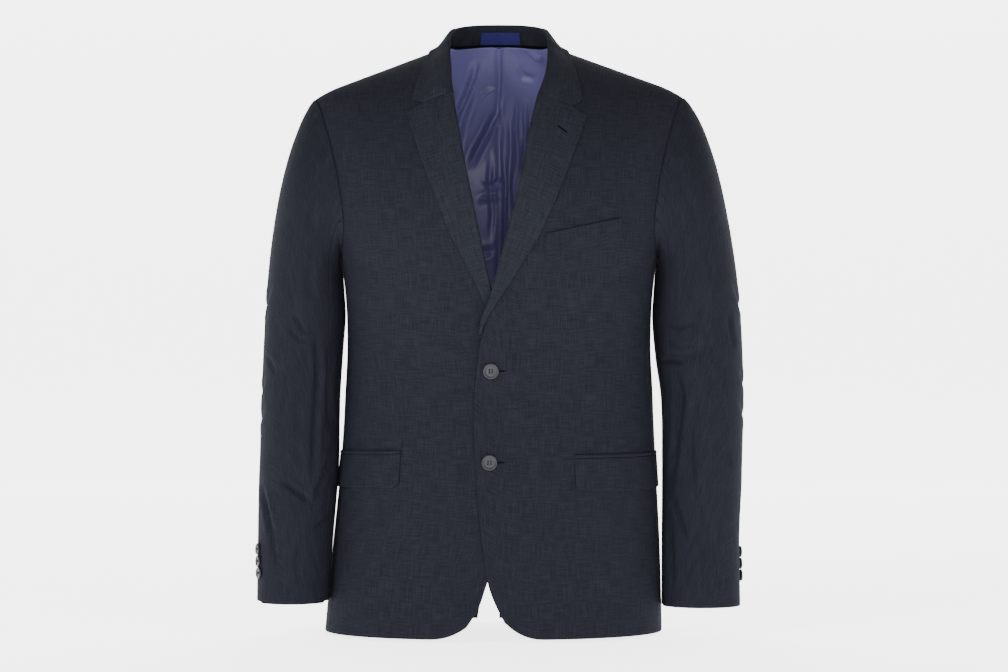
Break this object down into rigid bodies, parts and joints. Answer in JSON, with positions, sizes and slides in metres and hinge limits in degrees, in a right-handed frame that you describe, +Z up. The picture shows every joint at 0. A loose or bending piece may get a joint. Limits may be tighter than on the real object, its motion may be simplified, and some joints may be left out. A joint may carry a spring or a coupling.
{
  "type": "blazer",
  "caption": "Single-breasted tailored jacket with notch lapels, flap pockets, a slanted chest welt and buttoned cuffs, filled out and hollow, with neck, hem and cuffs open.",
  "frame": {"origin": "centre of the neck opening, level with the inner ends of the shoulder seams", "axes": "+Z up, the fronts face -Y, the wearer's left is +X"},
  "size_m": [0.6258, 0.2623, 0.7863],
  "materials": {
    "suit_cloth": "navy worsted wool with a fine, nearly smooth weave",
    "lining": "blue satin",
    "label": "plain woven blue",
    "buttons": "grey, half matt"
  },
  "bodies": {
    "root": {"front_left": "suit_cloth", "side_panel_left": "suit_cloth", "back_left": "suit_cloth", "top_sleeve_left": "suit_cloth", "under_sleeve_left": "suit_cloth", "lapel_left": "suit_cloth", "flap_left": "suit_cloth", "jetting_left": "suit_cloth", "front_right": "suit_cloth", "side_panel_right": "suit_cloth", "back_right": "suit_cloth", "top_sleeve_right": "suit_cloth", "under_sleeve_right": "suit_cloth", "lapel_right": "suit_cloth", "flap_right": "suit_cloth", "jetting_right": "suit_cloth", "collar": "suit_cloth", "chest_welt": "suit_cloth", "front_button_1": "buttons", "front_button_2": "buttons", "cuff_button_left_1": "buttons", "cuff_button_left_2": "buttons", "cuff_button_left_3": "buttons", "cuff_button_right_1": "buttons", "cuff_button_right_2": "buttons", "cuff_button_right_3": "buttons", "back_lining": "lining", "label": "label"}
  },
  "joints": []
}
